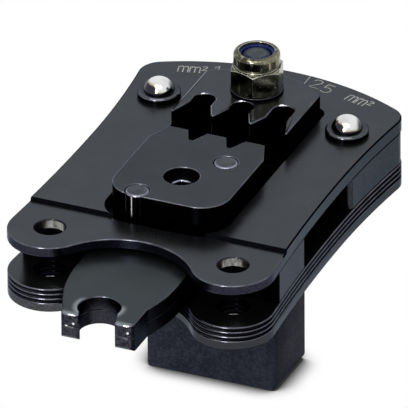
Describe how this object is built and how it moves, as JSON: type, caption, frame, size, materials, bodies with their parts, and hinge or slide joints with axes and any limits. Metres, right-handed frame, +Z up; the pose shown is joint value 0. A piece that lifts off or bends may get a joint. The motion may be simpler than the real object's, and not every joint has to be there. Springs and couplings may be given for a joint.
{
  "type": "crimp die head",
  "caption": "Crimp die head: a riveted plate frame with a fixed die of side-by-side nests, a sliding ram with the mating die, a lock nut and a contact locator underneath.",
  "frame": {"origin": "midway between the two ear holes, on the underside of the top plate", "axes": "+Y from the ears to the fixed die, along the travel of the ram; +Z up, along the ear holes"},
  "size_m": [0.0462, 0.0827, 0.0513],
  "materials": {
    "burnished_steel": "burnished black, satin gloss",
    "black_steel": "burnished black, glossy",
    "bright_steel": "polished",
    "zinc_steel": "yellow-olive zinc plating",
    "blue_nylon": "smooth moulded nylon",
    "blasted_steel": "blasted and blackened, matte and finely mottled"
  },
  "bodies": {
    "head": {"top_plate": "burnished_steel", "guide_rail_left": "burnished_steel", "guide_rail_right": "burnished_steel", "rear_spacer": "burnished_steel", "lower_plate_1": "burnished_steel", "lower_plate_2": "burnished_steel", "lower_plate_3": "burnished_steel", "base_plate": "burnished_steel", "rail_pins": "bright_steel", "rear_rivets": "bright_steel", "rivet_collars": "black_steel", "fixed_die": "black_steel", "pivot_bolt": "bright_steel", "nut_washer": "black_steel", "lock_nut": "zinc_steel", "nut_insert": "blue_nylon", "friction_washer": "bright_steel"},
    "ram": {"ram_upper_plate": "burnished_steel", "ram_lower_plate": "burnished_steel", "moving_die": "black_steel", "die_dowels": "bright_steel", "die_screw": "black_steel"},
    "locator": {"locator_arm": "burnished_steel", "locator_block": "blasted_steel", "locator_screws": "bright_steel"}
  },
  "joints": [
    {"name": "ram_slide", "type": "slide", "parent": "head", "child": "ram", "axis": [0, 1, 0], "range_m": [0, 0.0086]},
    {"name": "locator_pivot", "type": "hinge", "parent": "head", "child": "locator", "pos_m": [0, 0.0478, -0.013], "axis": [0, 0, 1], "range_deg": [-30, 30]}
  ]
}
